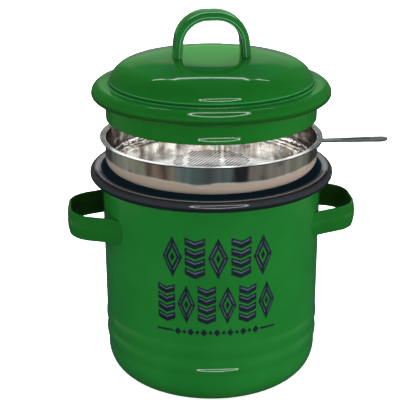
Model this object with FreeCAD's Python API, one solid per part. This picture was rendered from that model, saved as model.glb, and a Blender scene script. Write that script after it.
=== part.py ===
import FreeCAD, Part
import math
import os

# Enamelled grease canister with a lift-out strainer and a lid, shown opened:
# the strainer hangs above the pot's mouth and the lid above the strainer.
# Millimetres. The origin is on the pot's axis, where its foot ring stands. +Z is up,
# and the two side handles lie along X.

# ---- pot: one drawn steel cup, black enamel inside and over the curled rim
POT_HEIGHT = 123.3
BODY_RADIUS = 61.5
WALL_DRAFT = 0.7
STEEL = 0.6
ENAMEL = 0.35
RIM_RADIUS = 68.2
RIM_DEPTH = 5.4
RIM_NOSE = 2.5
RIM_FLARE = 1.3
CURL_GAP = 1.2
BASE_CORNER = 16.5
BASE_RECESS = 1.3
RECESS_WIDTH = 4.0
RECESS_FILLET = 4.0
RECESS_INSET = 4.0
BEADS = 2
LOWEST_BEAD = 25.4
BEAD_PITCH = 9.6
BEAD_HEIGHT = 0.5
BEAD_FILLET = 12.0
GROOVE_DEPTH = 0.3
GROOVE_FILLET = 4.0
HEEL_SET_IN = 0.5

# ---- side handles: crowned straps with welded feet
SIDE_REACH = 20.2
SIDE_DROP = 28.4
SIDE_STRAP = 14.2
SIDE_THICKNESS = 3.0
SIDE_CROWN = 0.9
SIDE_ROOT = 26.0
SIDE_TIP = 16.8
SIDE_CORNER = 16.5
SIDE_BEND = 9.0
SIDE_FOOT_ANGLE = 31.0
SIDE_FOOT_SINK = 3.0

# ---- strainer: spun bowl, perforated floor, strip handle that rises to its tip
STRAINER_CLEARANCE = 1.2
STRAINER_SHEET = 0.4
STRAINER_DEPTH = 17.0
STRAINER_RIM = 2.9
STRAINER_CORNER = 5.5
STRAINER_BEND = 0.7
STRAINER_LIFT = 16.15
LEDGE_WIDTH = 9.5
FLOOR_SHEET = 0.4
FLOOR_LAP = 3.5
HOLE_DIAMETER = 2.8
HOLE_RINGS = 6
HOLE_MARGIN = 3.0
STRIP_SHEET = 0.9
STRIP_REACH = 35.5
STRIP_RISE = 2.6
STRIP_LEVEL = 1.0
STRIP_BEND = 12.0
STRIP_ROOT_WIDTH = 5.0
STRIP_TIP_WIDTH = 8.2
STRIP_FOOT_ANGLE = 14.0
STRIP_TURN = -16.0
SLOT_LENGTH = 16.0
SLOT_WIDTH = 2.4
SLOT_FROM_TIP = 9.0

# ---- lid: dome, folded brim bead and a plug skirt, with a strap handle
LID_SHEET = 0.75
SKIRT_CLEARANCE = 0.3
SKIRT_DEPTH = 14.6
BRIM_RADIUS = 66.3
BRIM_TOP = 4.6
BRIM_SLOPE = -0.4
BRIM_BELOW = 2.9
BRIM_SHOULDER = 4.9
BRIM_NOSE = 2.2
BRIM_GROOVE = 57.2
BRIM_FILLET = 1.2
SKIRT_FILLET = 0.8
DOME_HEIGHT = 18.9
CROWN_BREAK = 31.1
CROWN_FILLET = 86.0
SHOULDER_RADIUS = 53.4
SHOULDER_HEIGHT = 13.8
SHOULDER_FILLET = 14.0
LID_LIFT = 22.5
LOOP_SPAN = 43.8
LOOP_TOP_SPAN = 39.0
LOOP_HEIGHT = 25.0
LOOP_STRAP = 16.0
LOOP_THICKNESS = 5.2
LOOP_CROWN = 0.25
LOOP_LEVEL = 2.0

# What rests on something is held this far above it.
SEAT_GAP = 0.3

# ---- sizes that follow
WALL = STEEL + ENAMEL
MOUTH_RADIUS = BODY_RADIUS - WALL
STRAINER_OUTER = MOUTH_RADIUS - STRAINER_CLEARANCE
STRAINER_INNER = STRAINER_OUTER - STRAINER_SHEET
STRAINER_SEAT = POT_HEIGHT + SEAT_GAP + STRIP_SHEET + STRAINER_SHEET
STRAINER_TOP = STRAINER_SEAT + STRAINER_LIFT
RIM_EDGE = STRAINER_OUTER + STRAINER_RIM
SKIRT_RADIUS = STRAINER_INNER - SKIRT_CLEARANCE
LID_PLANE = STRAINER_TOP + SEAT_GAP + BRIM_BELOW + LID_LIFT
AXIS = FreeCAD.Vector(0, 0, 1)


def unit(from_point, to_point):
    """Direction and length between two (r, z) points."""
    run = to_point[0] - from_point[0]
    rise = to_point[1] - from_point[1]
    length = math.hypot(run, rise)
    return run / length, rise / length


def offset(points, distance):
    """The rounded line of points moved to its right, with fillets that stay concentric."""
    moved = []
    last = len(points) - 1
    for i, (r, z, fillet) in enumerate(points):
        before = unit(points[max(i - 1, 0)], points[max(i, 1)])
        after = unit(points[min(i, last - 1)], points[min(i + 1, last)])
        turn = before[0] * after[1] - before[1] * after[0]
        share = 1 + before[0] * after[0] + before[1] * after[1]
        moved.append(
            (
                r + distance * (before[1] + after[1]) / share,
                z - distance * (before[0] + after[0]) / share,
                fillet + math.copysign(distance, turn) if fillet else 0,
            )
        )
    return moved


def edges(points, place):
    """Lines and tangent arcs along points of (r, z, fillet); place turns r, z into a vector."""
    made = []
    at = points[0][:2]
    for i in range(1, len(points) - 1):
        r, z, fillet = points[i]
        back = unit(points[i], points[i - 1])
        on = unit(points[i], points[i + 1])
        half = math.acos(back[0] * on[0] + back[1] * on[1]) / 2
        reach = fillet / math.tan(half)
        start = (r + back[0] * reach, z + back[1] * reach)
        end = (r + on[0] * reach, z + on[1] * reach)
        middle = unit((0, 0), (back[0] + on[0], back[1] + on[1]))
        depth = fillet / math.sin(half) - fillet
        crest = (r + middle[0] * depth, z + middle[1] * depth)
        made.append(Part.LineSegment(place(*at), place(*start)).toShape())
        made.append(Part.Arc(place(*start), place(*crest), place(*end)).toShape())
        at = end
    made.append(Part.LineSegment(place(*at), place(*points[-1][:2])).toShape())
    return made


def upright(r, z):
    return FreeCAD.Vector(r, 0, z)


def level(x, y):
    return FreeCAD.Vector(x, y, 0)


def spun_sheet(points, near, far):
    """A sheet of revolution between two offsets of the same line."""
    inner = offset(points, near)
    outer = offset(points, far)
    rim = Part.LineSegment(upright(*inner[-1][:2]), upright(*outer[-1][:2])).toShape()
    hub = Part.LineSegment(upright(*inner[0][:2]), upright(*outer[0][:2])).toShape()
    outline = edges(inner, upright) + [rim] + edges(outer, upright) + [hub]
    face = Part.Face(Part.Wire(Part.__sortEdges__(outline)))
    return face.revolve(FreeCAD.Vector(), AXIS, 360)


def strap_section(width, thickness, crown):
    """A strap's cross-section about the origin, with crowned faces and rounded edges: its
    thickness is along X and its width along Y."""
    half = width / 2
    shoulder = thickness / 2 - crown
    edge = half - shoulder

    def corner(u, v):
        return FreeCAD.Vector(u, v, 0)

    faces = []
    for side in (1, -1):
        faces.append(
            Part.Arc(
                corner(side * shoulder, -side * edge),
                corner(side * thickness / 2, 0),
                corner(side * shoulder, side * edge),
            ).toShape()
        )
        faces.append(
            Part.Arc(
                corner(side * shoulder, side * edge),
                corner(0, side * half),
                corner(-side * shoulder, side * edge),
            ).toShape()
        )
    return Part.Wire(Part.__sortEdges__(faces))


def swept_strap(spine, section, across, width_way):
    """A strap along a flat spine. across is the way of its thickness at the spine's start."""
    start = spine.OrderedVertexes[0].Point
    along = across.cross(width_way)
    frame = FreeCAD.Matrix(
        across.x, width_way.x, along.x, start.x,
        across.y, width_way.y, along.y, start.y,
        across.z, width_way.z, along.z, start.z,
        0, 0, 0, 1,
    )
    section.Placement = FreeCAD.Placement(frame)
    return spine.makePipeShell([section], True, False)


def pot_line():
    """The pot's inside face, from the axis over the curled rim."""
    floor = BASE_RECESS + WALL
    foot = MOUTH_RADIUS - WALL_DRAFT
    heel = foot - HEEL_SET_IN
    ring = foot + WALL - BASE_CORNER - RECESS_INSET
    crest = foot + BEAD_HEIGHT
    line = [
        (0, floor, 0),
        (ring - RECESS_WIDTH, floor, RECESS_FILLET),
        (ring, WALL, RECESS_FILLET),
        (heel, WALL, BASE_CORNER - WALL),
        (heel, LOWEST_BEAD - BEAD_PITCH / 2, GROOVE_FILLET),
    ]
    for i in range(BEADS):
        middle = LOWEST_BEAD + i * BEAD_PITCH
        between = GROOVE_DEPTH if i < BEADS - 1 else 0
        line.append((crest, middle, BEAD_FILLET))
        line.append((foot - between, middle + BEAD_PITCH / 2, GROOVE_FILLET))
    line.append((MOUTH_RADIUS, POT_HEIGHT, RIM_FLARE))
    line.append((RIM_RADIUS, POT_HEIGHT, RIM_NOSE))
    line.append((RIM_RADIUS, POT_HEIGHT - RIM_DEPTH, RIM_NOSE))
    line.append((BODY_RADIUS + CURL_GAP, POT_HEIGHT - RIM_DEPTH, 0))
    return line


def wall_plug():
    """The drafted part of the pot's wall as a filled cone, to cut what is welded to it."""
    low, high = offset(pot_line(), WALL)[-5:-3]
    return Part.makeCone(low[0], high[0], high[1] - low[1], FreeCAD.Vector(0, 0, low[1]))


def side_handle(side):
    """A strap loop in plan, its feet bent out along the wall and run out into it; side is 1
    for +X, -1 for -X."""
    middle = BODY_RADIUS + SIDE_THICKNESS / 2
    far = BODY_RADIUS + SIDE_REACH - SIDE_THICKNESS / 2
    root = math.sqrt(middle**2 - SIDE_ROOT**2)
    foot = math.radians(SIDE_FOOT_ANGLE)
    end = middle - SIDE_FOOT_SINK
    plan = [
        (end * math.cos(foot), -end * math.sin(foot), 0),
        (root, -SIDE_ROOT, SIDE_BEND),
        (far, -SIDE_TIP, SIDE_CORNER),
        (far, SIDE_TIP, SIDE_CORNER),
        (root, SIDE_ROOT, SIDE_BEND),
        (end * math.cos(foot), end * math.sin(foot), 0),
    ]
    spine = Part.Wire(edges(plan, level))
    section = strap_section(SIDE_STRAP, SIDE_THICKNESS, SIDE_CROWN)
    heading = unit(plan[0], plan[1])
    across = FreeCAD.Vector(heading[1], -heading[0], 0)
    strap = swept_strap(spine, section, across, AXIS)
    strap.translate(FreeCAD.Vector(0, 0, POT_HEIGHT - SIDE_DROP))
    strap = strap.cut(wall_plug())
    if side < 0:
        strap = strap.mirror(FreeCAD.Vector(), FreeCAD.Vector(1, 0, 0))
    return strap


def strainer_bowl():
    """Flat rim, straight wall, round heel and a ledge that carries the floor disc."""
    inside = STRAINER_TOP - STRAINER_DEPTH + STRAINER_SHEET
    line = [
        (STRAINER_OUTER - LEDGE_WIDTH, inside, 0),
        (STRAINER_INNER, inside, STRAINER_CORNER - STRAINER_SHEET),
        (STRAINER_INNER, STRAINER_TOP, STRAINER_BEND),
        (RIM_EDGE, STRAINER_TOP, 0),
    ]
    return spun_sheet(line, 0, STRAINER_SHEET)


def strainer_floor():
    """The perforated disc, with its holes on rings of six, twelve, eighteen and so on."""
    ledge = STRAINER_OUTER - LEDGE_WIDTH
    bottom = STRAINER_TOP - STRAINER_DEPTH + STRAINER_SHEET
    disc = Part.makeCylinder(ledge + FLOOR_LAP, FLOOR_SHEET, FreeCAD.Vector(0, 0, bottom))
    pitch = (ledge - HOLE_MARGIN) / HOLE_RINGS
    holes = []
    for ring in range(HOLE_RINGS + 1):
        count = max(6 * ring, 1)
        for i in range(count):
            turn = 2 * math.pi * i / count
            at = FreeCAD.Vector(
                ring * pitch * math.cos(turn), ring * pitch * math.sin(turn), bottom
            )
            holes.append(Part.makeCylinder(HOLE_DIAMETER / 2, FLOOR_SHEET, at))
    return disc.cut(Part.makeCompound(holes))


def strip_plan(tip):
    """The strip's outline from above: a taper with a round tip, less its hanging slot."""
    nose = STRIP_TIP_WIDTH / 2
    root = STRIP_ROOT_WIDTH / 2
    shoulder = tip - nose
    outline = [
        Part.LineSegment(level(STRAINER_OUTER, root), level(shoulder, nose)).toShape(),
        Part.Arc(level(shoulder, nose), level(tip, 0), level(shoulder, -nose)).toShape(),
        Part.LineSegment(level(shoulder, -nose), level(STRAINER_OUTER, -root)).toShape(),
        Part.LineSegment(level(STRAINER_OUTER, -root), level(STRAINER_OUTER, root)).toShape(),
    ]
    far = tip - SLOT_FROM_TIP
    near = far - SLOT_LENGTH
    end = SLOT_WIDTH / 2
    slot = [
        Part.LineSegment(level(near + end, end), level(far - end, end)).toShape(),
        Part.Arc(level(far - end, end), level(far, 0), level(far - end, -end)).toShape(),
        Part.LineSegment(level(far - end, -end), level(near + end, -end)).toShape(),
        Part.Arc(level(near + end, -end), level(near, 0), level(near + end, end)).toShape(),
    ]
    return Part.Face(Part.Wire(outline)).cut(Part.Face(Part.Wire(slot)))


def strainer_handle():
    """A strip from a curved foot under the strainer's rim, bent up a little, with a slot."""
    top = STRAINER_TOP - STRAINER_SHEET
    bottom = top - STRIP_SHEET
    neck = STRAINER_OUTER + STRAINER_BEND - STRAINER_SHEET
    tip = RIM_EDGE + STRIP_REACH
    side = [
        (STRAINER_OUTER, top, 0),
        (RIM_EDGE + STRIP_LEVEL, top, STRIP_BEND),
        (tip, top + STRIP_RISE, 0),
    ]
    upper = edges(side, upright)
    lower = edges(offset(side, STRIP_SHEET), upright)
    ends = []
    for i in (0, -1):
        near = side[i]
        far = offset(side, STRIP_SHEET)[i]
        ends.append(Part.LineSegment(upright(*near[:2]), upright(*far[:2])).toShape())
    ribbon = Part.Face(Part.Wire(Part.__sortEdges__(upper + lower + ends)))
    ribbon = ribbon.extrude(FreeCAD.Vector(0, STRIP_TIP_WIDTH, 0))
    ribbon.translate(FreeCAD.Vector(0, -STRIP_TIP_WIDTH / 2, 0))

    plan = strip_plan(tip)
    plan.translate(FreeCAD.Vector(0, 0, bottom))
    strip = ribbon.common(plan.extrude(FreeCAD.Vector(0, 0, STRIP_SHEET + STRIP_RISE)))
    foot = Part.makeCylinder(
        RIM_EDGE, STRIP_SHEET, FreeCAD.Vector(0, 0, bottom), AXIS, 2 * STRIP_FOOT_ANGLE
    )
    foot.rotate(FreeCAD.Vector(), AXIS, -STRIP_FOOT_ANGLE)
    wall = Part.makeCylinder(neck, STRIP_SHEET, FreeCAD.Vector(0, 0, bottom))
    handle = strip.fuse(foot).cut(wall).removeSplitter()
    handle.rotate(FreeCAD.Vector(), AXIS, STRIP_TURN)
    return handle


def lid_line():
    """The lid's outside face, from the axis over the dome and round the brim to the skirt."""
    return [
        (0, LID_PLANE + DOME_HEIGHT, 0),
        (CROWN_BREAK, LID_PLANE + DOME_HEIGHT, CROWN_FILLET),
        (SHOULDER_RADIUS, LID_PLANE + SHOULDER_HEIGHT, SHOULDER_FILLET),
        (BRIM_GROOVE, LID_PLANE + BRIM_TOP + BRIM_SLOPE, BRIM_FILLET),
        (BRIM_RADIUS, LID_PLANE + BRIM_TOP, BRIM_SHOULDER),
        (BRIM_RADIUS, LID_PLANE - BRIM_BELOW, BRIM_NOSE),
        (SKIRT_RADIUS, LID_PLANE - BRIM_BELOW, SKIRT_FILLET),
        (SKIRT_RADIUS, LID_PLANE - SKIRT_DEPTH, 0),
    ]


def lid_loop():
    """The strap arch over the dome, level for a short way at its top and cut to sit on the dome."""
    top = LID_PLANE + DOME_HEIGHT + LOOP_HEIGHT - LOOP_THICKNESS / 2
    wide = (LOOP_SPAN - LOOP_THICKNESS) / 2
    high = (LOOP_TOP_SPAN - LOOP_THICKNESS) / 2
    bend = high - LOOP_LEVEL / 2
    bottom = LID_PLANE + SHOULDER_HEIGHT
    arch = [
        (wide, bottom, 0),
        (high, top, bend),
        (-high, top, bend),
        (-wide, bottom, 0),
    ]
    spine = Part.Wire(edges(arch, upright))
    section = strap_section(LOOP_STRAP, LOOP_THICKNESS, LOOP_CROWN)
    heading = unit(arch[0], arch[1])
    across = FreeCAD.Vector(heading[1], 0, -heading[0])
    strap = swept_strap(spine, section, across, FreeCAD.Vector(0, 1, 0))
    dome = edges(lid_line()[:4], upright)
    foot = lid_line()[3]
    dome.append(Part.LineSegment(upright(*foot[:2]), upright(0, foot[1])).toShape())
    dome.append(Part.LineSegment(upright(0, foot[1]), upright(*lid_line()[0][:2])).toShape())
    plug = Part.Face(Part.Wire(dome)).revolve(FreeCAD.Vector(), AXIS, 360)
    return strap.cut(plug)


def save(name, shape):
    solids = shape.Solids
    made = solids[0] if len(solids) == 1 else Part.makeCompound(solids)
    made.exportStep(os.path.join("parts", name + ".step"))
    print(name, len(solids), "solid", made.isValid(), round(made.Volume, 1))


os.makedirs("parts", exist_ok=True)
save("pot_lining", spun_sheet(pot_line(), 0, ENAMEL))
save("pot_shell", spun_sheet(pot_line(), ENAMEL, WALL))
save("right_side_handle", side_handle(1))
save("left_side_handle", side_handle(-1))
save("strainer_bowl", strainer_bowl())
save("strainer_floor", strainer_floor())
save("strainer_handle", strainer_handle())
save("lid_shell", spun_sheet(lid_line(), 0, LID_SHEET))
save("lid_handle", lid_loop())
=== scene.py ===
"""Looks of the enamelled grease canister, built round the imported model."""
import math

import bmesh
import bpy
from mathutils import Matrix, Vector


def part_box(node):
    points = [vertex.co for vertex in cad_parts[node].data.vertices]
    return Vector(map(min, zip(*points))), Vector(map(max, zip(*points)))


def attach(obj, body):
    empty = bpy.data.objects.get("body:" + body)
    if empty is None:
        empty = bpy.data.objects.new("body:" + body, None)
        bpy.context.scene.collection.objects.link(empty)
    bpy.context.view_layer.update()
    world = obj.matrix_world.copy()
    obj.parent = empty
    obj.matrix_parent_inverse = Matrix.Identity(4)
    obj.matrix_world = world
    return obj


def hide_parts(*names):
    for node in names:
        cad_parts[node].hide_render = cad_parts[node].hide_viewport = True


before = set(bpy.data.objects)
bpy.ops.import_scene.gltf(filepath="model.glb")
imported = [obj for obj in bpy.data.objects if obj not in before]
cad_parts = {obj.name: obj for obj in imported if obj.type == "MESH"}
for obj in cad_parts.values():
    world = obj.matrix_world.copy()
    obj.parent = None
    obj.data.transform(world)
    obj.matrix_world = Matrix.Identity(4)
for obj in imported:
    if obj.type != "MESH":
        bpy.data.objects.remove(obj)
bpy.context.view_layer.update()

MM = 0.001

# ---- camera: it stands a little to the left of the object's front and looks down on it
VIEW_AZIMUTH = math.radians(-6.5)
VIEW_PITCH = math.radians(20.05)
VIEW_DISTANCE = 668.5 * MM
VIEW_HEIGHT = 340.6 * MM
VIEW_LENS = 107.7
VIEW_SENSOR = 36
VIEW_SHIFT = -0.0079

# The camera's side of the object: to the right of the picture, and towards the camera.
RIGHT = Vector((math.cos(VIEW_AZIMUTH), math.sin(VIEW_AZIMUTH), 0))
TOWARDS = Vector((math.sin(VIEW_AZIMUTH), -math.cos(VIEW_AZIMUTH), 0))
UP = Vector((0, 0, 1))

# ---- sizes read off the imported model
SKIRT_RADIUS = 58.65 * MM
BRIM_RADIUS = 62.5 * MM
SKIRT_DEPTH = 14.6 * MM
MOUTH_HEIGHT = 123.3 * MM
WALL_TOP_RADIUS = 61.5 * MM
WALL_DRAFT = 0.7 / 83.5
STRAINER_RIM_RADIUS = 60.2 * MM

# The lid's arch: half of its level top, the height where its bend begins, the bend's inner
# radius, and how much the legs below the bend part for each length they go down.
ARCH_LEVEL = 2.0 * MM
ARCH_SPRING = 192.1 * MM
ARCH_INNER = 13.5 * MM
ARCH_SPLAY = 0.087


def linear(red, green, blue):
    """A colour seen on a screen, in parts of 255, as the linear light that shaders take."""
    light = []
    for part in (red, green, blue):
        share = part / 255
        light.append(share / 12.92 if share <= 0.04045 else ((share + 0.055) / 1.055) ** 2.4)
    return (*light, 1.0)


def place(right, towards, height):
    """A place in millimetres as the camera sees it: to the right, towards it, and up."""
    return RIGHT * (right * MM) + TOWARDS * (towards * MM) + UP * (height * MM)


# ------------------------------------------------------------------ materials
def new_material(name):
    material = bpy.data.materials.new(name)
    material.use_nodes = True
    return material, material.node_tree, material.node_tree.nodes["Principled BSDF"]


def noise(tree, vector, size, detail):
    """Noise with features of that size in metres."""
    node = tree.nodes.new("ShaderNodeTexNoise")
    node.inputs["Scale"].default_value = 1 / size
    node.inputs["Detail"].default_value = detail
    tree.links.new(vector, node.inputs["Vector"])
    return node.outputs["Fac"]


def spread(tree, value, low, high, out_low=0.0, out_high=1.0):
    """value from low..high to out_low..out_high, held at the ends."""
    node = tree.nodes.new("ShaderNodeMapRange")
    node.inputs["From Min"].default_value = low
    node.inputs["From Max"].default_value = high
    node.inputs["To Min"].default_value = out_low
    node.inputs["To Max"].default_value = out_high
    tree.links.new(value, node.inputs["Value"])
    return node.outputs["Result"]


def blend_colours(tree, share, first, second):
    node = tree.nodes.new("ShaderNodeMix")
    node.data_type = "RGBA"
    tree.links.new(share, node.inputs["Factor"])
    for colour, socket in ((first, node.inputs[6]), (second, node.inputs[7])):
        if isinstance(colour, tuple):
            socket.default_value = colour
        else:
            tree.links.new(colour, socket)
    return node.outputs[2]


def bump(tree, height, shader, depth, before=None):
    """A relief of that depth, on top of the one before. It goes to the shader if there is one."""
    node = tree.nodes.new("ShaderNodeBump")
    node.inputs["Distance"].default_value = depth
    tree.links.new(height, node.inputs["Height"])
    if before is not None:
        tree.links.new(before, node.inputs["Normal"])
    if shader is not None:
        tree.links.new(node.outputs["Normal"], shader.inputs["Normal"])
    return node.outputs["Normal"]


def object_place(tree):
    return tree.nodes.new("ShaderNodeTexCoord").outputs["Object"]


def stretched(tree, vector, across, along):
    """The place with its width scaled by across and its height by along."""
    node = tree.nodes.new("ShaderNodeVectorMath")
    node.operation = "MULTIPLY"
    node.inputs[1].default_value = (across, across, along)
    tree.links.new(vector, node.inputs[0])
    return node.outputs["Vector"]


def height_of(tree, vector):
    node = tree.nodes.new("ShaderNodeSeparateXYZ")
    tree.links.new(vector, node.inputs[0])
    return node.outputs["Z"]


def off_axis(tree, where):
    """The distance from the pot's axis."""
    far = tree.nodes.new("ShaderNodeVectorMath")
    far.operation = "LENGTH"
    tree.links.new(stretched(tree, where, 1.0, 0.0), far.inputs[0])
    return far.outputs["Value"]


def reckon(tree, operation, *values):
    """The result of a Math node on one or two values."""
    node = tree.nodes.new("ShaderNodeMath")
    node.operation = operation
    for i, value in enumerate(values):
        tree.links.new(value, node.inputs[i])
    return node.outputs[0]


def both(tree, first, second):
    return reckon(tree, "MULTIPLY", first, second)


def along(tree, where, direction):
    """How far a place lies along a direction."""
    node = tree.nodes.new("ShaderNodeVectorMath")
    node.operation = "DOT_PRODUCT"
    node.inputs[1].default_value = direction
    tree.links.new(where, node.inputs[0])
    return node.outputs["Value"]


def window(tree, value, low, high, soft):
    """1 between low and high and 0 outside them, with edges as wide as twice soft."""
    above = spread(tree, value, low - soft, low + soft)
    below = spread(tree, value, high - soft, high + soft, 1.0, 0.0)
    return both(tree, above, below)


# The sizes of marks: the clouds and ripple of enamel, the tone, waves and streaks of steel, the
# wandering of the edge of its low painted reflection, and the clouds of ink. STEEL_SCALE and the
# painted reflection's own scale stretch the height, which draws the marks out upwards.
ENAMEL_CLOUDS = 30 * MM
ENAMEL_RIPPLE = 16 * MM
STEEL_TONE = 5 * MM
STEEL_WAVES = 15 * MM
STEEL_STREAKS = 3 * MM
STEEL_SCALE = 0.12
PAINTED_REFLECTION_DRIFT = 32 * MM
PAINTED_REFLECTION_SCALE = 0.3
INK_CLOUDS = 4 * MM

# The parts of noise's range that marks are spread over.
CLOUDY = (0.35, 0.65)
SOFTER = (0.3, 0.7)

# How strongly a surface mirrors, where that changes along it: on the lid's skirt and above it,
# in the lining and on the curled rim, and in the steel's low painted reflection and above it.
LID_SPECULAR = (0.2, 0.42)
LINING_SPECULAR = (0.0, 0.2)
PAINTED_REFLECTION_SPECULAR = (0.05, 0.5)
INK_ROUGHNESS = 0.4

# Fired enamel's roughness, the depth of its ripple and its index of refraction.
GLOSS = (0.05, 0.014 * MM, 1.42)
LINING_GLOSS = (0.07, 0.014 * MM, 1.38)
LID_BLACK_GLOSS = (0.12, 0.03 * MM, 1.42)
INSIDE_GLOSS = (0.10, 0.03 * MM, 1.35)

# Bands of another colour as (low, high, soft): painted shade in the lid's groove, under its brim and
# beside the rim's crest, painted highlights beside the groove, on the lid's shoulder, on the rim's
# crest and along the arch's edges, and the lid's black lower edge. The lid's are by height, but the
# shoulder's and the pot rim's are by the distance from the axis, and the arch's by the way out from
# its bend.
GROOVE_SHADE = (171.7 * MM, 172.7 * MM, 0.2 * MM)
GROOVE_HIGHLIGHT = (173.0 * MM, 173.5 * MM, 0.15 * MM)
SHOULDER_HIGHLIGHT = (56.95 * MM, 57.5 * MM, 0.15 * MM)
BRIM_SHADE = (162.0 * MM, 166.8 * MM, 0.5 * MM)
SKIRT_EDGE = (150 * MM, 152.3 * MM, 0.1 * MM)
ARCH_EDGE_HIGHLIGHT = (ARCH_INNER + 0.4 * MM, ARCH_INNER + 1.1 * MM, 0.15 * MM)
ARCH_SECOND_HIGHLIGHT = (ARCH_INNER + 2.2 * MM, ARCH_INNER + 2.5 * MM, 0.15 * MM)
ARCH_OUTER_HIGHLIGHT = (ARCH_INNER + 4.7 * MM, ARCH_INNER + 5.0 * MM, 0.12 * MM)
RIM_CREST_HIGHLIGHT = (63.7 * MM, 64.5 * MM, 0.2 * MM)
RIM_SHADE = (64.9 * MM, 66.3 * MM, 0.2 * MM)

# Ranges over which one thing turns into another.
SKIRT_TOP = (163 * MM, 164 * MM)
# ARCH_FRONT and ARCH_HIGH keep the arch's painted highlights to its front side, and the outer one to
# its top.
ARCH_FRONT = (-6.0 * MM, -5.0 * MM)
ARCH_HIGH = (206.0 * MM, 208.0 * MM)
# RIM_START is where the rim's painted grey sheen begins, RIM_FOOT where the painted shade low on the
# rim begins, and RIM_VIEW keeps the painted highlight on the rim's crest to the side towards the
# camera.
RIM_START = (62.0 * MM, 62.6 * MM)
RIM_FOOT = (120.2 * MM, 121.2 * MM)
RIM_VIEW = (-10 * MM, 60 * MM)
# FLANGE_VIEW and FLANGE_EDGE place the flange's painted dark reflection: on the side towards the camera
# and round the outer edge.
FLANGE_VIEW = (20 * MM, 56 * MM)
FLANGE_EDGE = (61.4 * MM, 62.0 * MM)
# Painted light: the lining's faint blue glow in the pot's depth, and none on the rim.
PAINTED_LINING_GLOW = (0.003, 0.0078, 0.0112, 1)
NO_GLOW = (0, 0, 0, 1)


def enamel(name, deep, pale, gloss):
    """Fired enamel: glossy, a little uneven in colour, with the slow ripple of flowed glass."""
    roughness, ripple, ior = gloss
    material, tree, shader = new_material(name)
    where = object_place(tree)
    clouds = spread(tree, noise(tree, where, ENAMEL_CLOUDS, 2.0), *CLOUDY)
    tree.links.new(blend_colours(tree, clouds, deep, pale), shader.inputs["Base Color"])
    shader.inputs["Roughness"].default_value = roughness
    shader.inputs["IOR"].default_value = ior
    bump(tree, noise(tree, where, ENAMEL_RIPPLE, 1.0), shader, ripple)
    return material


def opened(material):
    """What a change to a material needs: its tree, its shader, the place and its colour."""
    tree = material.node_tree
    shader = tree.nodes["Principled BSDF"]
    colour = shader.inputs["Base Color"].links[0].from_socket
    return tree, shader, object_place(tree), colour


def lid_enamel(name, deep, pale, painted_highlight, shaded):
    """The lid's enamel: painted shade in the groove and under the brim, painted highlights beside
    the groove and on the shoulder, and black along the lower edge."""
    material = enamel(name, deep, pale, GLOSS)
    tree, shader, where, colour = opened(material)
    height = height_of(tree, where)
    far = off_axis(tree, where)
    # Painted shade in the groove and under the brim, painted highlights beside the groove and on the
    # shoulder, and the black lower edge.
    for value, band, patch in (
        (height, GROOVE_SHADE, shaded),
        (height, GROOVE_HIGHLIGHT, painted_highlight),
        (far, SHOULDER_HIGHLIGHT, painted_highlight),
        (height, BRIM_SHADE, shaded),
        (height, SKIRT_EDGE, linear(8, 14, 14)),
    ):
        colour = blend_colours(tree, window(tree, value, *band), colour, patch)
    tree.links.new(colour, shader.inputs["Base Color"])
    specular = spread(tree, height, *SKIRT_TOP, *LID_SPECULAR)
    tree.links.new(specular, shader.inputs["Specular IOR Level"])
    return material


def arch_reach(tree, parts):
    """How far a place on the lid's handle lies out from the middle of its bend, with the legs
    taken as if they went on straight down from it."""
    far = 100 * MM
    joined = tree.nodes.new("ShaderNodeCombineXYZ")
    aside = reckon(tree, "ABSOLUTE", parts.outputs["X"])
    tree.links.new(spread(tree, aside, ARCH_LEVEL, far, 0.0, far - ARCH_LEVEL), joined.inputs["X"])
    rise = spread(tree, parts.outputs["Z"], ARCH_SPRING, ARCH_SPRING + far, 0.0, far)
    tree.links.new(rise, joined.inputs["Z"])
    bend = tree.nodes.new("ShaderNodeVectorMath")
    bend.operation = "LENGTH"
    tree.links.new(joined.outputs[0], bend.inputs[0])
    fall = 10 * MM
    below = spread(tree, parts.outputs["Z"], ARCH_SPRING - fall, ARCH_SPRING, ARCH_SPLAY * fall, 0.0)
    return reckon(tree, "SUBTRACT", bend.outputs["Value"], below)


def arch_enamel(name, deep, pale, painted_highlight):
    """The arch handle's enamel, with painted highlights: pale lines along the strap's edges."""
    material = enamel(name, deep, pale, GLOSS)
    tree, shader, where, colour = opened(material)
    parts = tree.nodes.new("ShaderNodeSeparateXYZ")
    tree.links.new(where, parts.inputs[0])
    reach = arch_reach(tree, parts)
    front = spread(tree, parts.outputs["Y"], *ARCH_FRONT, 1.0, 0.0)
    high = spread(tree, parts.outputs["Z"], *ARCH_HIGH)
    # Painted highlights: pale lines along the strap's edges, on its front side only.
    for band, share in (
        (ARCH_EDGE_HIGHLIGHT, front),
        (ARCH_SECOND_HIGHLIGHT, front),
        (ARCH_OUTER_HIGHLIGHT, both(tree, front, high)),
    ):
        line = both(tree, window(tree, reach, *band), share)
        colour = blend_colours(tree, line, colour, painted_highlight)
    tree.links.new(colour, shader.inputs["Base Color"])
    return material


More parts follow.
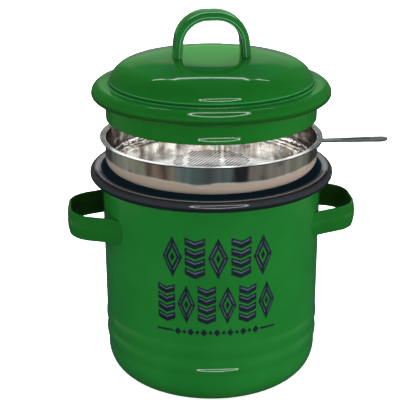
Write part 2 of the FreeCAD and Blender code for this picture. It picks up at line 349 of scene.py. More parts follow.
def lining_enamel():
    """Black enamel: blue-black in the pot's depth with a faint painted glow, and over the curled rim
    a painted grey sheen, a painted highlight on the crest towards the camera and painted shade
    beside the crest and below it."""
    material = enamel("black_enamel", linear(12, 24, 30), linear(15, 28, 34), LINING_GLOSS)
    tree, shader, where, colour = opened(material)
    far = off_axis(tree, where)
    rim = spread(tree, far, *RIM_START)
    foot = spread(tree, height_of(tree, where), *RIM_FOOT, 1.0, 0.0)
    front = spread(tree, along(tree, where, TOWARDS), *RIM_VIEW)
    # Painted sheen: grey over the rim. Painted shade: darker low on the rim and a dark band beside the
    # crest. Painted highlight: the pale crest line towards the camera.
    for share, patch in (
        (rim, linear(47, 50, 54)),
        (both(tree, rim, foot), linear(22, 28, 30)),
        (window(tree, far, *RIM_SHADE), linear(6, 6, 10)),
        (both(tree, window(tree, far, *RIM_CREST_HIGHLIGHT), front), linear(180, 178, 186)),
    ):
        colour = blend_colours(tree, share, colour, patch)
    tree.links.new(colour, shader.inputs["Base Color"])
    # Painted light: a faint glow in the pot's depth, none on the rim.
    glowing = blend_colours(tree, rim, PAINTED_LINING_GLOW, NO_GLOW)
    tree.links.new(glowing, shader.inputs["Emission Color"])
    shader.inputs["Emission Strength"].default_value = 1.0
    specular = spread(tree, rim, 0, 1, *LINING_SPECULAR)
    tree.links.new(specular, shader.inputs["Specular IOR Level"])
    return material


def paint_low_reflection(tree, shader, where, colour, low_reflection):
    """The steel's colour with a painted reflection, a beige band that isn't a mirror, below a wandering
    line.
    """
    reflection_colour, bottom, top, wander = low_reflection
    drift = noise(tree, stretched(tree, where, 1.0, PAINTED_REFLECTION_SCALE), PAINTED_REFLECTION_DRIFT, 1.0)
    drift = spread(tree, drift, *SOFTER, 0, wander)
    height = reckon(tree, "SUBTRACT", height_of(tree, where), drift)
    rise = spread(tree, height, bottom, top)
    tree.links.new(rise, shader.inputs["Metallic"])
    specular = spread(tree, rise, 0, 1, *PAINTED_REFLECTION_SPECULAR)
    tree.links.new(specular, shader.inputs["Specular IOR Level"])
    return blend_colours(tree, rise, reflection_colour, colour)


def polished_steel(name, dull, bright, rough, wave, streaks, low_reflection=None):
    """Spun stainless steel: near mirror, with waves and upright streaks of those depths."""
    material, tree, shader = new_material(name)
    where = object_place(tree)
    lines = stretched(tree, where, 1.0, STEEL_SCALE)
    tone = spread(tree, noise(tree, lines, STEEL_TONE, 3.0), *CLOUDY)
    colour = blend_colours(tree, tone, dull, bright)
    shader.inputs["Metallic"].default_value = 1.0
    if low_reflection is not None:
        colour = paint_low_reflection(tree, shader, where, colour, low_reflection)
    tree.links.new(colour, shader.inputs["Base Color"])
    shader.inputs["Roughness"].default_value = rough
    wavy = bump(tree, noise(tree, where, STEEL_WAVES, 1.5), None, wave)
    bump(tree, noise(tree, lines, STEEL_STREAKS, 1.5), shader, streaks, wavy)
    return material


def flange_steel():
    """The flange: satin, with a painted dark reflection round its outer edge towards the camera."""
    colours = (linear(205, 208, 206), linear(225, 228, 226))
    material = polished_steel("steel_flange", *colours, rough=0.26, wave=0.05 * MM, streaks=0.0)
    tree, shader, where, colour = opened(material)
    # Painted dark reflection round the outer edge, on the side towards the camera.
    front = spread(tree, along(tree, where, TOWARDS), *FLANGE_VIEW)
    edge = spread(tree, off_axis(tree, where), *FLANGE_EDGE)
    dull = blend_colours(tree, both(tree, front, edge), colour, linear(96, 98, 98))
    tree.links.new(dull, shader.inputs["Base Color"])
    return material


def ink(name, deep, pale):
    """Fired print, with a little less gloss than the enamel under it."""
    material, tree, shader = new_material(name)
    clouds = spread(tree, noise(tree, object_place(tree), INK_CLOUDS, 4.0), *SOFTER)
    tree.links.new(blend_colours(tree, clouds, deep, pale), shader.inputs["Base Color"])
    shader.inputs["Roughness"].default_value = INK_ROUGHNESS
    return material


GREEN = enamel("green_enamel", linear(26, 105, 37), linear(29, 110, 41), GLOSS)
HANDLE_GREEN = enamel("green_enamel_handle", linear(21, 90, 27), linear(24, 95, 31), GLOSS)
ARCH_GREEN = arch_enamel(
    "green_enamel_arch", linear(30, 103, 41), linear(33, 109, 45), linear(120, 178, 138)
)
LID_GREEN = lid_enamel(
    "green_enamel_lid", linear(22, 96, 29), linear(25, 101, 33), linear(44, 140, 76), linear(20, 72, 22)
)
# Painted shade: a darker green for the faces inside the side handles' loops and the lid handle's arch.
SHADED_GREEN = enamel("green_enamel_painted_shade", linear(28, 54, 18), linear(32, 60, 22), INSIDE_GLOSS)
BLACK = enamel("black_enamel_lid", linear(10, 20, 24), linear(12, 24, 28), LID_BLACK_GLOSS)
LINING = lining_enamel()

# The painted reflection low on the strainer's wall, a beige band that isn't a mirror: its colour,
# where it begins and ends to give way to the mirror, and how far up that place wanders.
LOW_PAINTED_REFLECTION = (linear(152, 138, 125), 128.9 * MM, 130.5 * MM, 2.6 * MM)
WALL_STEEL = polished_steel(
    "steel_wall",
    linear(198, 196, 190),
    linear(230, 228, 222),
    rough=0.07,
    wave=0.5 * MM,
    streaks=0.015 * MM,
    low_reflection=LOW_PAINTED_REFLECTION,
)
INNER_STEEL = polished_steel(
    "steel_inside",
    linear(170, 160, 150),
    linear(240, 238, 232),
    rough=0.10,
    wave=0.9 * MM,
    streaks=0.18 * MM,
)
FLANGE_STEEL = flange_steel()
FLOOR_STEEL = polished_steel(
    "steel_floor",
    linear(205, 203, 199),
    linear(232, 230, 226),
    rough=0.12,
    wave=0.12 * MM,
    streaks=0.0,
)
# Painted shade: dark, matt steel for the walls of the holes.
HOLE_STEEL = polished_steel(
    "steel_hole", linear(52, 52, 50), linear(70, 70, 68), rough=0.5, wave=0.0, streaks=0.0
)
INK = ink("print_navy", linear(15, 23, 31), linear(22, 32, 40))
PALE_INK = ink("print_light", linear(58, 78, 90), linear(78, 98, 112))


def dress(node, *materials):
    """Gives a CAD node its materials."""
    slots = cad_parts[node].data.materials
    slots.clear()
    for material in materials:
        slots.append(material)


# ------------------------------------------------------------------ the carried-over pieces
# How near to an edge a face counts as part of it, and how squarely a face looks somewhere
# before it counts as looking there.
EDGE_FACES = 0.9 * MM
LOOP_SQUARE = 0.75
ARCH_SQUARE = 0.8
WALL_INWARD = -0.2
FLOOR_UPWARD = 0.5

# The middle of a side handle's arc, and the share of the arch's height where it bends.
LOOP_MIDDLE = 58 * MM
ARCH_BEND_SHARE = 0.45

# The distance from the axis where the lid's brim begins.
BRIM_START = SKIRT_RADIUS + 1.0 * MM


def outward_from_axis(middle):
    return Vector((middle.x, middle.y, 0)).normalized()


def faces_inside_lid(shell):
    """Marks the lid's inner faces and its lower edge, which are black, as its second material."""
    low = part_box("lid_shell")[0].z
    for face in shell.data.polygons:
        middle = face.center
        if math.hypot(middle.x, middle.y) > BRIM_START:
            core = outward_from_axis(middle) * BRIM_RADIUS + Vector((0, 0, low + SKIRT_DEPTH))
        else:
            core = Vector((0, 0, low))
        edge = middle.z < low + EDGE_FACES
        inner = face.normal.dot(middle - core) < 0
        face.material_index = 1 if inner or edge else 0


def faces_inside_loop(loop, side):
    """Marks the faces of a side handle that look at the pot as its second material, a darker green of
    painted shade.
    """
    middle = side * LOOP_MIDDLE
    for face in loop.data.polygons:
        back = Vector((middle - face.center.x, -face.center.y, 0)).normalized()
        face.material_index = 1 if face.normal.dot(back) > LOOP_SQUARE else 0


def faces_of_bowl(bowl):
    """The strainer's outer wall first, its inner faces second and its flange third."""
    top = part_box("strainer_bowl")[1].z
    for face in bowl.data.polygons:
        middle = face.center
        inward = face.normal.dot(outward_from_axis(middle)) < WALL_INWARD
        if math.hypot(middle.x, middle.y) > STRAINER_RIM_RADIUS and middle.z > top - EDGE_FACES:
            face.material_index = 2
        elif inward or face.normal.z > FLOOR_UPWARD:
            face.material_index = 1
        else:
            face.material_index = 0


def faces_inside_arch(arch):
    """Marks the faces of the lid's handle that look into its arch as its second material, a darker
    green of painted shade.
    """
    low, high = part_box("lid_handle")
    middle = Vector((0, 0, low.z + ARCH_BEND_SHARE * (high.z - low.z)))
    for face in arch.data.polygons:
        inward = middle - Vector((face.center.x, 0, max(face.center.z, middle.z)))
        face.material_index = 1 if face.normal.dot(inward.normalized()) > ARCH_SQUARE else 0


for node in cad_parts.values():
    even = node.modifiers.new("even_normals", "WEIGHTED_NORMAL")
    even.weight = 90
    even.keep_sharp = True

dress("pot_shell", GREEN)
dress("lid_handle", ARCH_GREEN, SHADED_GREEN)
faces_inside_arch(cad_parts["lid_handle"])
for name, side in (("right_side_handle", 1), ("left_side_handle", -1)):
    dress(name, HANDLE_GREEN, SHADED_GREEN)
    faces_inside_loop(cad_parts[name], side)
dress("pot_lining", LINING)
dress("strainer_bowl", WALL_STEEL, INNER_STEEL, FLANGE_STEEL)
faces_of_bowl(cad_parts["strainer_bowl"])
dress("strainer_floor", FLOOR_STEEL)
dress("strainer_handle", FLANGE_STEEL)
dress("lid_shell", LID_GREEN, BLACK)
faces_inside_lid(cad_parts["lid_shell"])


# ------------------------------------------------------------------ new pieces
def piece(name, mesh, body, slot, *materials):
    made = bpy.data.objects.new(name, mesh)
    bpy.context.scene.collection.objects.link(made)
    for material in materials:
        mesh.materials.append(material)
    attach(made, body)
    return made


# ---- the print: thin fired shapes that follow the pot's wall, in millimetres
PRINT_TURN = VIEW_AZIMUTH + math.radians(3.0)
PRINT_MIDDLE = 70
PRINT_STEP = 1.6
PRINT_PROUD = 0.07
PRINT_INLINE = 0.42
PRINT_MERGE = 0.001
ORNAMENT_SHARE = 0.88

# Rows of ornaments as (count, left, right, low, high, first ornament), and the line under them.
PRINT_ROWS = ((5, -30.5, 31.5, 78.5, 102.0, 0), (6, -33.5, 33.5, 52.0, 74.5, 1))
DASHES = ((-33.5, -24.5), (24.5, 33.5))
DASH_HEIGHTS = (46.6, 47.7)
BEAD_COUNT = 13
BEAD_PITCH = 3.6
BEAD_HEIGHT = 47.0
BEAD_SIZES = (1.9, 1.2)
BEAD_STRETCH = 1.2

# Shares of a lozenge: its hole, the core in that, and the way out to its light inline, which
# runs between two shares of its own way.
LOZENGE_HOLE = 0.46
LOZENGE_CORE = 0.5
LOZENGE_INLINE = 0.76
INLINE_WAIST = (0.94, 0.06)
INLINE_TIP = (0.16, 0.84)

# A sheaf's bars, how far their outer ends lift, and what a bar is made of: its share of the
# width, where it begins and ends in the bar's pitch, how proud it is and its material.
SHEAF_BARS = 4
SHEAF_GAP = 0.16
SHEAF_LIFT = 0.40
SHEAF_LAYERS = ((1.0, 0.0, 0.76, PRINT_PROUD, 0), (0.84, 0.46, 0.60, PRINT_PROUD * 2, 1))


def wall_radius(height):
    """The pot's outer radius between beads and rim, in millimetres."""
    return WALL_TOP_RADIUS / MM - WALL_DRAFT * (MOUTH_HEIGHT / MM - height)


def on_wall(across, height, proud):
    """A point of the print in metres: across is the way along the wall from its middle."""
    turn = PRINT_TURN + across / wall_radius(PRINT_MIDDLE)
    reach = (wall_radius(height) + proud) * MM
    return Vector((math.sin(turn) * reach, -math.cos(turn) * reach, height * MM))


def print_band(bm, rows, proud, material):
    """A patch of print between rows of (height, left, right)."""
    widest = max(right - left for _, left, right in rows)
    columns = max(1, math.ceil(widest / PRINT_STEP))
    grid = []
    for height, left, right in rows:
        line = []
        for i in range(columns + 1):
            across = left + (right - left) * i / columns
            line.append(bm.verts.new(on_wall(across, height, proud)))
        grid.append(line)
    for low, high in zip(grid, grid[1:]):
        for i in range(columns):
            face = bm.faces.new((low[i], low[i + 1], high[i + 1], high[i]))
            face.material_index = material


def inline(bm, start, end):
    """A light straight stroke between two (across, height) points that isn't level."""
    run = math.hypot(end[0] - start[0], end[1] - start[1])
    wide = PRINT_INLINE / 2 * run / abs(end[1] - start[1])
    rows = []
    for across, height in (start, end):
        rows.append((height, across - wide, across + wide))
    print_band(bm, rows, PRINT_PROUD * 2, 1)


def diamond(bm, middle, height, half, rise):
    rows = [
        (height - rise, middle, middle),
        (height, middle - half, middle + half),
        (height + rise, middle, middle),
    ]
    print_band(bm, rows, PRINT_PROUD, 0)


def lozenge(bm, middle, low, high, width):
    """A tall ring of four slanting bars round a small filled lozenge, with a light inline."""
    waist = (low + high) / 2
    rise = waist - low
    half = width / 2
    hole = half * LOZENGE_HOLE
    inner = rise * LOZENGE_HOLE
    for side in (-1, 1):
        beside = middle + side * half * (rise - inner) / rise
        rows = [
            (low, middle, middle),
            (waist - inner, *sorted((middle, beside))),
            (waist, *sorted((middle + side * hole, middle + side * half))),
            (waist + inner, *sorted((middle, beside))),
            (high, middle, middle),
        ]
        print_band(bm, rows, PRINT_PROUD, 0)
    diamond(bm, middle, waist, hole * LOZENGE_CORE, inner * LOZENGE_CORE)
    for side in (-1, 1):
        for way in (-1, 1):
            ends = []
            for out, up in (INLINE_WAIST, INLINE_TIP):
                across = middle + side * (half * LOZENGE_INLINE) * out
                ends.append((across, waist + way * (rise * LOZENGE_INLINE) * up))
            inline(bm, *ends)


def sheaf(bm, middle, low, high, width):
    """A stack of slanting bars that meet on the middle line, each with a light inline."""
    half = width / 2
    pitch = (high - low) / (SHEAF_BARS + SHEAF_GAP)
    lift = SHEAF_LIFT * pitch
    for i in range(SHEAF_BARS):
        foot = low + i * pitch
        for side in (-1, 1):
            for share, start, end, proud, material in SHEAF_LAYERS:
                far = middle + side * half * share
                outline = (
                    (middle, foot + start * pitch),
                    (far, foot + lift * share + start * pitch),
                    (far, foot + lift * share + end * pitch),
                    (middle, foot + end * pitch),
                )
                verts = [bm.verts.new(on_wall(across, height, proud)) for across, height in outline]
                if side < 0:
                    verts.reverse()
                bm.faces.new(verts).material_index = material


def print_row(bm, count, left, right, low, high, first):
    """A row of alternating ornaments."""
    pitch = (right - left) / count
    for i in range(count):
        middle = left + (i + 0.5) * pitch
        ornament = (lozenge, sheaf)[(i + first) % 2]
        ornament(bm, middle, low, high, pitch * ORNAMENT_SHARE)


def add_print():
    mesh = bpy.data.meshes.new("pot_print")
    bm = bmesh.new()
    for row in PRINT_ROWS:
        print_row(bm, *row)
    for left, right in DASHES:
        print_band(bm, [(height, left, right) for height in DASH_HEIGHTS], PRINT_PROUD, 0)
    for i in range(BEAD_COUNT):
        step = i - BEAD_COUNT // 2
        size = BEAD_SIZES[step % 2]
        diamond(bm, step * BEAD_PITCH, BEAD_HEIGHT, size, size * BEAD_STRETCH)
    bmesh.ops.remove_doubles(bm, verts=bm.verts, dist=PRINT_MERGE * MM)
    bm.to_mesh(mesh)
    bm.free()
    piece("pot_print", mesh, "pot", "black_enamel", INK, PALE_INK)


# ---- the strainer's floor: a disc with fields of fine holes, in millimetres
MESH_PITCH = 2.2
MESH_HOLE = 0.80
MESH_FIELD = 21.0
MESH_BLANK = 46.5
MESH_SIDES = 12
MESH_MERGE = 0.002

# Bars without holes between the fields, as (middle, half width) across the view.
MESH_BARS = ((-14.5, 1.6), (6.4, 1.4))

# The plain ring round the cells: its sides, how far it laps under them, and how deep it lies.
EDGE_SIDES = 128
EDGE_LAP = 2.2
EDGE_INSET = 0.02 * MM


def corner(bm, x, y, z):
    return bm.verts.new((x * MM, y * MM, z))


def join(bm, first, second, material):
    """A band of faces between two loops of as many corners."""
    count = len(first)
    for i in range(count):
        j = (i + 1) % count
        bm.faces.new((first[i], first[j], second[j], second[i])).material_index = material


def hexagon():
    """Points on a cell's edge at even turns."""
    points = []
    for i in range(MESH_SIDES):
        turn = 2 * math.pi * i / MESH_SIDES
        off = (turn + math.pi / 6) % (math.pi / 3) - math.pi / 6
        far = MESH_PITCH / 2 / math.cos(off)
        points.append((far * math.cos(turn), far * math.sin(turn)))
    return points


def circle(radius, sides):
    points = []
    for i in range(sides):
        turn = 2 * math.pi * i / sides
        points.append((radius * math.cos(turn), radius * math.sin(turn)))
    return points


def blank_cell(bm, x, y, bottom, top):
    outline = hexagon()
    bm.faces.new([corner(bm, x + u, y + v, top) for u, v in outline])
    bm.faces.new([corner(bm, x + u, y + v, bottom) for u, v in reversed(outline)])


def holed_cell(bm, x, y, bottom, top):
    """A cell with a round hole, whose wall has the second material, dark matt steel as painted shade.
    """
    outline = hexagon()
    hole = circle(MESH_HOLE, MESH_SIDES)
    loops = []
    for points, z in ((outline, top), (hole, top), (hole, bottom), (outline, bottom)):
        loops.append([corner(bm, x + u, y + v, z) for u, v in points])
    for layer in range(3):
        join(bm, loops[layer], loops[layer + 1], 1 if layer == 1 else 0)


def plain_ring(bm, radius, bottom, top):
    inner = MESH_BLANK - EDGE_LAP
    high = top - EDGE_INSET
    low = bottom + EDGE_INSET
    loops = []
    for reach, z in ((inner, high), (radius, high), (radius, low), (inner, low)):
        loops.append([corner(bm, x, y, z) for x, y in circle(reach, EDGE_SIDES)])
    for k, loop in enumerate(loops):
        beside = loops[(k + 1) % len(loops)]
        for i in range(EDGE_SIDES):
            j = (i + 1) % EDGE_SIDES
            bm.faces.new((loop[i], beside[i], beside[j], loop[j]))


def add_strainer_floor():
    low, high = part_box("strainer_floor")
    bm = bmesh.new()
    row_pitch = MESH_PITCH * math.sqrt(3) / 2
    rows = math.ceil(MESH_BLANK / row_pitch)
    columns = math.ceil(MESH_BLANK / MESH_PITCH) + 1
    for row in range(-rows, rows + 1):
        for column in range(-columns, columns + 1):
            x = (column + 0.5 * (row % 2)) * MESH_PITCH
            y = row * row_pitch
            far = math.hypot(x, y)
            if far > MESH_BLANK:
                continue
            across = RIGHT.x * x + RIGHT.y * y
            barred = any(abs(across - middle) < half for middle, half in MESH_BARS)
            cell = blank_cell if far > MESH_FIELD or barred else holed_cell
            cell(bm, x, y, low.z, high.z)
    plain_ring(bm, high.x / MM, low.z, high.z)
    bmesh.ops.remove_doubles(bm, verts=bm.verts, dist=MESH_MERGE * MM)
    bmesh.ops.recalc_face_normals(bm, faces=bm.faces)
    mesh = bpy.data.meshes.new("strainer_mesh")
    bm.to_mesh(mesh)
    bm.free()
    made = piece("strainer_mesh", mesh, "strainer", "stainless_steel", FLOOR_STEEL, HOLE_STEEL)
    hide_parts("strainer_floor")


add_print()
add_strainer_floor()


# ------------------------------------------------------------------ studio
# Brightness of the mirrored room. BACKDROP, ROOM and LOW_BAND are by degrees of elevation.
# BEHIND and LOW_ROOM are by degrees of azimuth, from the camera's side and to the right.
# BEHIND is the share of the backdrop, and LOW_BAND the share of the low room.
BACKDROP = (
    (-90, 0.02),
    (-20, 0.04),
    (-4, 0.20),
    (4, 0.30),
    (12.5, 0.26),
    (18.5, 0.28),
    (20.5, 0.14),
    (22, (0.05, 0.10, 0.14)),
    (36, (0.03, 0.09, 0.14)),
    (48, 0.03),
    (90, 0.03),
)
ROOM = ((-90, 0.02), (-30, (0.03, 0.05, 0.07)), (-10, 0.05), (5, 0.08), (30, 0.05), (90, 0.03))
BEHIND = ((-180, 1.0), (-174, 1.0), (-163, 0.0), (163, 0.0), (174, 1.0), (180, 1.0))
LOW_ROOM = (
    (-180, (0.04, 0.04, 0.04)),
    (-138, (0.05, 0.05, 0.05)),
    (-124, (0.20, 0.20, 0.19)),
    (-112, (0.24, 0.25, 0.22)),
    (-80, (0.24, 0.24, 0.20)),
    (-70, (0.09, 0.07, 0.06)),
    (-60, (0.22, 0.17, 0.13)),
    (-52, (0.07, 0.055, 0.045)),
    (-42, (0.22, 0.18, 0.15)),
    (-34, (0.12, 0.17, 0.17)),
    (-14, (0.10, 0.15, 0.15)),
    (-9, (0.07, 0.09, 0.10)),
    (14, (0.10, 0.125, 0.13)),
    (23, (0.09, 0.11, 0.12)),
    (27, (0.02, 0.024, 0.03)),
    (36, (0.025, 0.025, 0.028)),
    (41, (0.20, 0.19, 0.17)),
    (58, (0.15, 0.14, 0.13)),
    (66, (0.24, 0.22, 0.20)),
    (112, (0.23, 0.24, 0.20)),
    (134, (0.05, 0.05, 0.05)),
    (180, (0.04, 0.04, 0.04)),
)
LOW_BAND = ((-90, 0.0), (-21.2, 0.0), (-20.2, 1.0), (-15, 1.0), (-13, 0.0), (90, 0.0))

# The light that falls on what isn't mirrored, from straight below to straight above.
SOFT_LIGHT = ((-1.0, 0.14), (0.0, 0.24), (1.0, 0.34))
WHITE = (1, 1, 1, 1)

# A lamp's power for each unit of radiance and area, and the pieces of a ring of lamps.
AREA_POWER = math.pi
HALO_STEPS = 28

# Places that lamps are turned to, as right, towards the camera and up in millimetres.
BEFORE = (0, 400, 170)
POT_LOW = (0, 0, 90)
UNDER_LID = (0, 0, 150)
LID_MIDDLE = (0, 0, 170)

# The line over the dome, in millimetres: where it stands, its top and how it bows, and the
# parts at its ends as (name, width, points to the right and up).
DOME_AT = 11.5
DOME_STEPS = 10
DOME_STEP = 2
DOME_TOP = 208.1
DOME_DIP = 5.2
DOME_REACH = 25.8
DOME_PARTS = (
    ("bend_left", 1.1, ((-20, 204.9), (-26, 204.4))),
    ("bend_right", 1.1, ((20, 204.9), (26, 205.1))),
    ("left", 2.8, ((-25, 204.6), (-34, 206.3), (-40, 209.3), (-46, 213.6))),
    ("right", 2.8, ((25, 205.0), (31, 206.6), (37, 209.8), (46, 215.8))),
)
STROKE_LIGHT = (0.45, 1.0, 0.75)
STROKES = (
    ("left", ((-39.8, 32.9, 185.6), (-45.4, 33.9, 182.2), (-50.5, 33.1, 177.0))),
    ("right", ((39.4, 35.7, 185.1), (45.0, 34.3, 182.5), (50.3, 30.9, 178.8))),
)

# Lamps for the enamel's colour as (name, place, target, width and height in metres, power).
SOFT_LIGHTS = (
    ("key", (180, 900, 130), POT_LOW, 0.7, 0.6, 6.8),
    ("left", (-900, 20, 230), POT_LOW, 0.6, 0.6, 4.4),
    ("right", (900, 20, 230), POT_LOW, 0.6, 0.6, 5.6),
    ("back", (0, -950, 950), UNDER_LID, 0.8, 0.8, 30),
)

# Rings of lamps close before the enamel, as (name, turn and half of the width in degrees, top
# and bottom as (radius, height), radiance, and the shares of width and height that stay open).
RINGS = (
    ("shoulder_ring", 5.0, 12.9, (56.9, 178.2), (58.3, 176.1), 9.0, 0.8, 0.45),
    ("brim_ring", 3.8, 15.6, (61.4, 173.3), (67.5, 171.2), 9.0, 0.82, 0.62),
    ("skirt_ring", 4.3, 12.4, (62.4, 155.1), (62.4, 152.7), 19.8, 0.8, 0.5),
    ("rim_ring", 3.7, 14.5, (68.6, 126.5), (72.2, 120.4), 22.5, 0.82, 0.5),
    ("bead_ring", 3.5, 12.4, (64.6, 23.4), (63.8, 20.7), 9.0, 0.8, 0.4),
)

# The crown's lamps are green, and the wide one goes dark between two heights. The disc under
# the lid has bright marks of one size, from a range of noise to a range of brightness.
CROWN_LIGHT = (0.08, 0.85, 0.06)
CROWN_FADE = (198 * MM, 217 * MM)
FILL_RADIUS = 56 * MM
FILL_HEIGHT = 151.6
FILL_MARKS = 11 * MM
FILL_MOTTLE = (0.44, 0.56, 0.05, 2.4)

# The floor: half its width in metres, how far it lies below the pot, its colour, how matt it
# is, and its own light.
FLOOR_HALF = 6.0
FLOOR_DROP = 0.05 * MM
FLOOR_COLOUR = (0.9, 0.9, 0.9, 1)
FLOOR_ROUGHNESS = 0.9
FLOOR_LIGHT = 0.8


def area_lamp(name, width, height, power):
    data = bpy.data.lights.new(name, "AREA")
    data.shape = "RECTANGLE"
    data.size = width
    data.size_y = height
    data.energy = power
    light = bpy.data.objects.new(name, data)
    bpy.context.scene.collection.objects.link(light)
    return light


def soft_light(name, at, target, width, height, power):
    """A lamp that lights the enamel's colour and leaves no reflection of itself."""
    light = area_lamp(name, width, height, power)
    light.location = place(*at)
    light.rotation_mode = "QUATERNION"
    light.rotation_quaternion = (place(*target) - light.location).to_track_quat("-Z", "Y")
    light.visible_glossy = False


def panel(name, corners, radiance, target, colour=(1, 1, 1)):
    """A flat lamp over four corners, turned towards target, that only shows in reflections."""
    onward = (corners[1] - corners[0] + corners[2] - corners[3]) / 2
    across = (corners[3] - corners[0] + corners[2] - corners[1]) / 2
    side = onward.normalized()
    lift = across - side * across.dot(side)
    middle = sum(corners, Vector()) / 4
    back = side.cross(lift).normalized()
    if back.dot(target - middle) > 0:
        back = -back
        lift = -lift
    power = AREA_POWER * radiance * onward.length * lift.length
    light = area_lamp(name, onward.length, lift.length, power)
    light.data.color = colour
    turn = Matrix((side, lift.normalized(), back)).transposed().to_4x4()
    light.matrix_world = Matrix.Translation(middle) @ turn
    light.visible_camera = False
    light.visible_diffuse = False
    light.visible_transmission = False
    return light


def vary(light):
    """The node tree of a lamp, the place on the lamp and the socket for its brightness."""
    light.data.use_nodes = True
    tree = light.data.node_tree
    where = tree.nodes.new("ShaderNodeNewGeometry")
    return tree, where.outputs["Position"], tree.nodes["Emission"].inputs["Strength"]


def upright_panel(name, half_width, behind, low, high, radiance, colour=(1, 1, 1)):
    """A panel behind the object, across the view."""
    corners = [
        place(-half_width, -behind, low),
        place(half_width, -behind, low),
        place(half_width, -behind, high),
        place(-half_width, -behind, high),
    ]
    return panel(name, corners, radiance, place(*LID_MIDDLE), colour)


def fill_panel():
    """A mottled disc under the lid, for the strainer's inside to mirror."""
    half = FILL_RADIUS / MM
    corners = [
        place(-half, -half, FILL_HEIGHT),
        place(half, -half, FILL_HEIGHT),
        place(half, half, FILL_HEIGHT),
        place(-half, half, FILL_HEIGHT),
    ]
    fill = panel("fill_panel", corners, 1.0, place(0, 0, 0))
    fill.data.shape = "DISK"
    fill.data.energy = AREA_POWER * math.pi * FILL_RADIUS ** 2
    tree, where, brightness = vary(fill)
    marks = noise(tree, where, FILL_MARKS, 2.0)
    tree.links.new(spread(tree, marks, *FILL_MOTTLE), brightness)


def strip(name, points, width, radiance, target, colour=(1, 1, 1)):
    """A bright ribbon of panels through points that only shows in reflections."""
    half = width / 2
    low = [place(right, towards, height - half) for right, towards, height in points]
    high = [place(right, towards, height + half) for right, towards, height in points]
    for i in range(len(points) - 1):
        corners = [low[i], low[i + 1], high[i + 1], high[i]]
        panel(name, corners, radiance, place(*target), colour)


def round_place(turn, radius, height):
    """A place in degrees round the pot's axis from the camera's side, and in millimetres."""
    angle = math.radians(turn)
    return place(radius * math.sin(angle), radius * math.cos(angle), height)


def halo(name, turn, half_turn, top, bottom, radiance, end, line):
    """A ring of panels close before a round surface, between two (radius, height) edges. end
    and line are the shares of its width and height that stay open."""
    edges = []
    for wide, high in ((1.0, 1.0), (end, line)):
        edge = []
        for i in range(HALO_STEPS):
            angle = 2 * math.pi * i / HALO_STEPS
            share = (1 + high * math.sin(angle)) / 2
            radius = bottom[0] + (top[0] - bottom[0]) * share
            height = bottom[1] + (top[1] - bottom[1]) * share
            edge.append(round_place(turn + half_turn * wide * math.cos(angle), radius, height))
        edges.append(edge)
    outer, inner = edges
    for i in range(HALO_STEPS):
        j = (i + 1) % HALO_STEPS
        corners = [outer[i], outer[j], inner[j], inner[i]]
        panel(name, corners, radiance, place(0, 0, bottom[1]))


def add_floor():
    half = FLOOR_HALF
    mesh = bpy.data.meshes.new("floor")
    mesh.from_pydata(
        [(-half, -half, 0), (half, -half, 0), (half, half, 0), (-half, half, 0)], [], [(0, 1, 2, 3)]
    )
    floor = bpy.data.objects.new("floor", mesh)
    bpy.context.scene.collection.objects.link(floor)
    floor.location.z = -FLOOR_DROP
    material, tree, shader = new_material("floor_paper")
    shader.inputs["Base Color"].default_value = FLOOR_COLOUR
    shader.inputs["Roughness"].default_value = FLOOR_ROUGHNESS
    shader.inputs["Specular IOR Level"].default_value = 0.0
    shader.inputs["Emission Color"].default_value = WHITE
    shader.inputs["Emission Strength"].default_value = FLOOR_LIGHT
    mesh.materials.append(material)
    floor.visible_diffuse = False
    floor.visible_glossy = False
    floor.visible_shadow = False


def ramp(tree, value, low, high, stops):
    """Colours at places from low to high of a value."""
    node = tree.nodes.new("ShaderNodeValToRGB")
    tree.links.new(spread(tree, value, low, high), node.inputs["Fac"])
    elements = node.color_ramp.elements
    for i, (where, colour) in enumerate(stops):
        share = (where - low) / (high - low)
        if not isinstance(colour, tuple):
            colour = (colour, colour, colour)
        if i < 2:
            elements[i].position = share
            elements[i].color = (*colour, 1)
        else:
            elements.new(share).color = (*colour, 1)
    return node.outputs["Color"]


def rises(stops):
    """Stops at degrees of elevation, as stops of the way's height."""
    return tuple((math.sin(math.radians(angle)), colour) for angle, colour in stops)


def background(tree, colour):
    node = tree.nodes.new("ShaderNodeBackground")
    if isinstance(colour, tuple):
        node.inputs["Color"].default_value = colour
    else:
        tree.links.new(colour, node.inputs["Color"])
    return node.outputs[0]


def mix(tree, share, first, second):
    node = tree.nodes.new("ShaderNodeMixShader")
    for i, value in enumerate((share, first, second)):
        tree.links.new(value, node.inputs[i])
    return node.outputs[0]


def mirrored_room(tree, way, up):
    """A dark room with a pale backdrop behind the object and a patterned low part."""
    azimuth = reckon(tree, "ARCTAN2", along(tree, way, RIGHT), along(tree, way, TOWARDS))
    azimuth = spread(tree, azimuth, -math.pi, math.pi, -180, 180)
    room = ramp(tree, up, -1, 1, rises(ROOM))
    low_room = ramp(tree, azimuth, -180, 180, LOW_ROOM)
    room = blend_colours(tree, ramp(tree, up, -1, 1, rises(LOW_BAND)), room, low_room)
    backdrop = ramp(tree, up, -1, 1, rises(BACKDROP))
    return blend_colours(tree, ramp(tree, azimuth, -180, 180, BEHIND), room, backdrop)


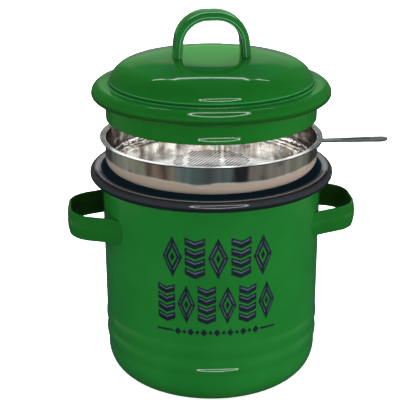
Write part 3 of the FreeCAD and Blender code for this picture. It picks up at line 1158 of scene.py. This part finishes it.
def add_world():
    """White for the camera, soft light for the enamel, and a room for what glossy surfaces
    mirror."""
    world = bpy.data.worlds.new("studio")
    bpy.context.scene.world = world
    world.use_nodes = True
    tree = world.node_tree
    way = tree.nodes.new("ShaderNodeTexCoord").outputs["Generated"]
    up = height_of(tree, way)
    soft = background(tree, ramp(tree, up, -1, 1, SOFT_LIGHT))
    room = background(tree, mirrored_room(tree, way, up))
    light = tree.nodes.new("ShaderNodeLightPath")
    shown = mix(tree, light.outputs["Is Glossy Ray"], soft, room)
    shown = mix(tree, light.outputs["Is Camera Ray"], shown, background(tree, WHITE))
    tree.links.new(shown, tree.nodes["World Output"].inputs["Surface"])


def add_camera():
    data = bpy.data.cameras.new("camera")
    data.lens = VIEW_LENS
    data.sensor_width = VIEW_SENSOR
    data.shift_x = VIEW_SHIFT
    camera = bpy.data.objects.new("camera", data)
    bpy.context.scene.collection.objects.link(camera)
    camera.location = (
        VIEW_DISTANCE * math.sin(VIEW_AZIMUTH),
        -VIEW_DISTANCE * math.cos(VIEW_AZIMUTH),
        VIEW_HEIGHT,
    )
    camera.rotation_euler = (math.pi / 2 - VIEW_PITCH, 0, VIEW_AZIMUTH)
    bpy.context.scene.camera = camera


add_floor()
add_world()
add_camera()
for soft in SOFT_LIGHTS:
    soft_light(*soft)

# The line over the dome: a bowed middle, a bend at each of its ends, and the two outer parts.
middle_line = []
for i in range(-DOME_STEPS, DOME_STEPS + 1):
    right = DOME_STEP * i
    middle_line.append((right, DOME_AT, DOME_TOP - DOME_DIP * (right / DOME_REACH) ** 2))
strip("dome_line", middle_line, width=0.7, radiance=6.0, target=BEFORE)
for name, width, points in DOME_PARTS:
    line = [(right, DOME_AT, height) for right, height in points]
    strip("dome_line_" + name, line, width, radiance=5.0, target=BEFORE)

# A short stroke at each side of the dome.
for name, points in STROKES:
    strip(name + "_stroke", points, width=1.2, radiance=2.6, target=UNDER_LID, colour=STROKE_LIGHT)

# Rings close before the shoulder, the brim, the skirt, the rim and a bead.
for ring in RINGS:
    halo(*ring)

# What the crown and the gap between lid and strainer mirror.
upright_panel(
    "crown_panel", half_width=23, behind=75, low=190, high=224, radiance=0.36, colour=CROWN_LIGHT
)
wide_panel = upright_panel(
    "crown_side_panel", half_width=75, behind=76, low=190, high=216, radiance=0.28, colour=CROWN_LIGHT
)
tree, where, brightness = vary(wide_panel)
tree.links.new(spread(tree, height_of(tree, where), *CROWN_FADE, 1.0, 0.0), brightness)
upright_panel("gap_panel", half_width=75, behind=78, low=141.5, high=153, radiance=1.1)
fill_panel()

scene = bpy.context.scene
scene.view_settings.view_transform = "Standard"
scene.view_settings.look = "None"
